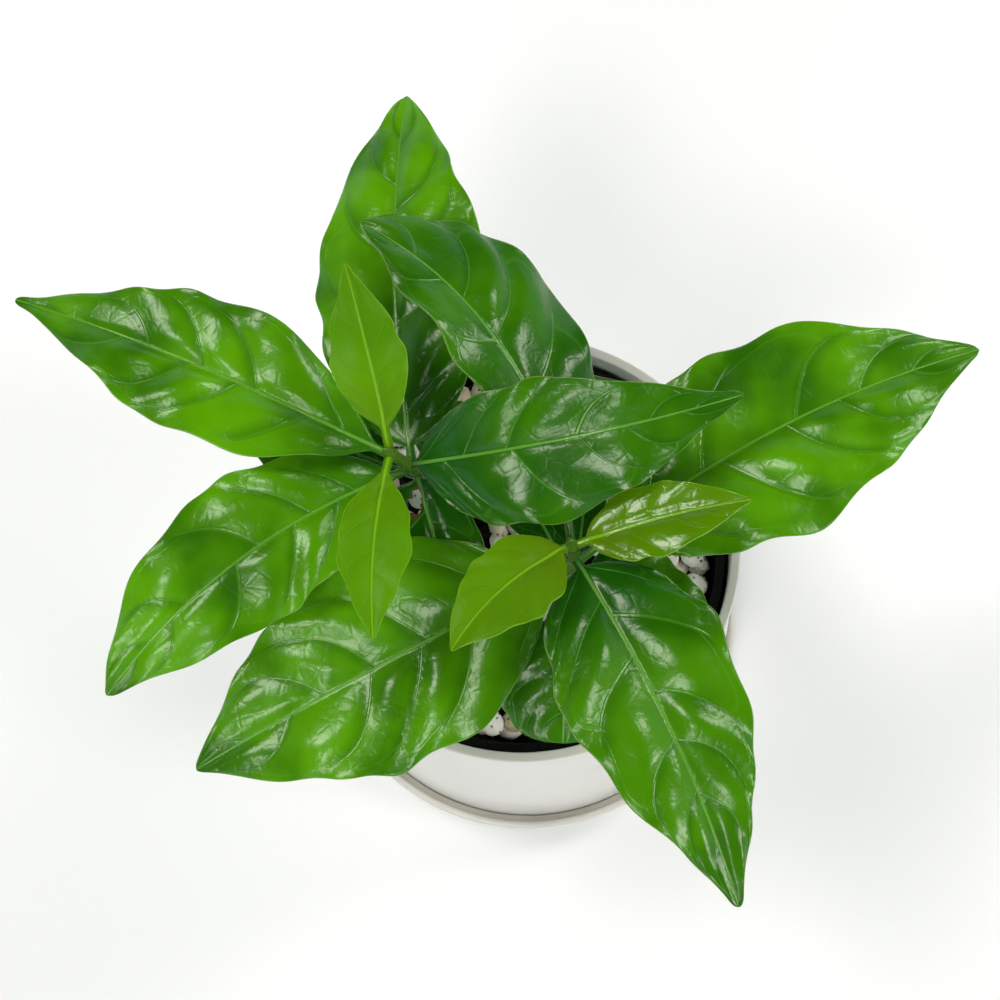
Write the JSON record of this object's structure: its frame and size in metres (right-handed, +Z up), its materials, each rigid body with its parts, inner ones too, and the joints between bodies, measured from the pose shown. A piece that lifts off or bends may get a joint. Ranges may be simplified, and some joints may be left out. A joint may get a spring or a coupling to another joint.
{
  "type": "potted coffee plant",
  "caption": "Young coffee plant with broad glossy leaves, in a plain round off-white cover pot on a saucer, its soil dressed with pale pebbles.",
  "frame": {"origin": "on the ground, under the middle of the pot and of its saucer", "axes": "+Z up along the pot's axis; +X to the right and +Y away in the picture's steep downward view"},
  "size_m": [0.1752, 0.1599, 0.1781],
  "materials": {
    "pot_glaze": "satin off-white glaze",
    "nursery_black": "matte black plastic",
    "soil_brown": "dark crumbly potting soil",
    "pebble_white": "matte off-white stone",
    "stem_green": "smooth olive green",
    "leaf_green": "glossy deep green",
    "leaf_young": "glossy yellow-green"
  },
  "bodies": {
    "root": {"saucer": "pot_glaze", "cover_pot": "pot_glaze", "nursery_pot": "nursery_black", "soil": "soil_brown", "pebbles": "pebble_white", "stem_a": "stem_green", "stem_b": "stem_green", "leaf_a1": "leaf_young", "leaf_a2": "leaf_young", "leaf_a3": "leaf_green", "leaf_a4": "leaf_green", "leaf_a5": "leaf_green", "leaf_a6": "leaf_green", "leaf_a7": "leaf_green", "leaf_a8": "leaf_green", "leaf_a9": "leaf_green", "leaf_a10": "leaf_green", "leaf_b1": "leaf_young", "leaf_b2": "leaf_young", "leaf_b3": "leaf_green", "leaf_b4": "leaf_green", "leaf_b5": "leaf_green", "leaf_b6": "leaf_green", "leaf_b7": "leaf_green", "leaf_b8": "leaf_green", "leaf_b9": "leaf_green", "leaf_b10": "leaf_green"}
  },
  "joints": []
}
